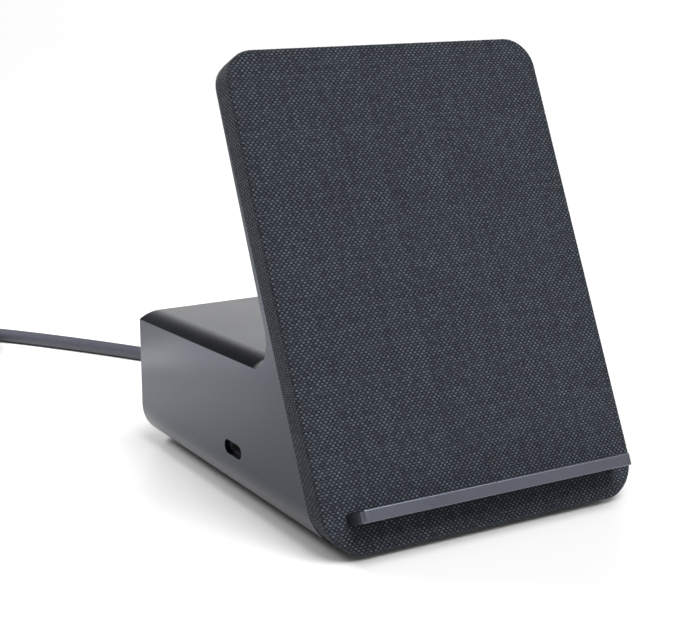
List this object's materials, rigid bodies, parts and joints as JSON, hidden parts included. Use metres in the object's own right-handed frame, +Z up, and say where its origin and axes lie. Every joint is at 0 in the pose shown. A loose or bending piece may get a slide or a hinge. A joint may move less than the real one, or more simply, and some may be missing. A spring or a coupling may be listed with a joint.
{
  "type": "wireless charging stand",
  "caption": "Upright wireless charging stand: fabric face leaning back on an L-shaped docking base, with a phone ledge, side and rear sockets and a captive cable",
  "frame": {"origin": "on the surface it stands on, under the middle of the stand without its cable", "axes": "+X to the right seen from the front, +Y to the back, +Z up; the face leans back 24.9 degrees from +Z towards +Y"},
  "size_m": [0.168, 0.2768, 0.1145],
  "materials": {
    "body_plastic": "bead blasted satin, blue grey",
    "port_panel_plastic": "fine matt texture",
    "cover_plastic": "fine matt texture",
    "inner_plastic": "moulded, unpainted",
    "socket_plastic": "moulded black",
    "chip_plastic": "moulded black epoxy",
    "foot_rubber": "soft matt",
    "face_fabric": "woven dark blue grey melange",
    "ledge_metal": "satin anodised grey",
    "coil_copper": "wound enamelled wire",
    "ferrite": "dull dark grey",
    "plate_aluminium": "rolled",
    "screw_steel": "black zinc",
    "circuit_board": "solder mask",
    "ballast_steel": "plated",
    "standoff_brass": "turned",
    "thermal_pad": "soft",
    "capacitor_can": "drawn can",
    "contact_brass": "gold plated",
    "socket_metal": "drawn, plated",
    "cable_jacket": "soft extruded jacket",
    "tie_fabric": "hook and loop",
    "plug_plastic": "fine matt",
    "plug_metal": "drawn, plated"
  },
  "bodies": {
    "root": {"backplate_screws": "screw_steel", "ballast_plate": "ballast_steel", "board_screws": "screw_steel", "board_standoffs": "standoff_brass", "bottom_cover": "cover_plastic", "cable_clamp": "inner_plastic", "cable_coil": "cable_jacket", "cable_tail": "cable_jacket", "cable_tie": "tie_fabric", "capacitors": "capacitor_can", "charging_board": "circuit_board", "charging_board_spacers": "inner_plastic", "charging_chips": "chip_plastic", "chip_pad": "thermal_pad", "coil_backplate": "plate_aluminium", "coil_frame": "inner_plastic", "cover_screws": "screw_steel", "display_sockets": "socket_metal", "display_tongues": "socket_plastic", "fabric_cover": "face_fabric", "face_tray": "inner_plastic", "ferrite_sheet": "ferrite", "front_foot": "foot_rubber", "heat_sink": "plate_aluminium", "host_cable": "cable_jacket", "housing": "body_plastic", "hub_chips": "chip_plastic", "inductors": "ferrite", "inner_cable": "cable_jacket", "lower_charging_coil": "coil_copper", "main_board": "circuit_board", "network_contacts": "contact_brass", "network_socket": "socket_plastic", "phone_ledge": "ledge_metal", "plug_body": "plug_plastic", "plug_relief": "plug_plastic", "plug_tip": "plug_metal", "power_jack": "socket_plastic", "power_jack_pin": "contact_brass", "rear_foot": "foot_rubber", "rear_panel": "port_panel_plastic", "rear_usb_c_shell": "socket_metal", "rear_usb_c_tongue": "socket_plastic", "side_usb_c_shell": "socket_metal", "side_usb_c_tongue": "socket_plastic", "strain_relief": "cable_jacket", "upper_charging_coil": "coil_copper", "usb_a_sockets": "socket_metal", "usb_a_tongues": "socket_plastic", "video_socket": "socket_metal", "video_tongue": "socket_plastic"}
  },
  "joints": []
}
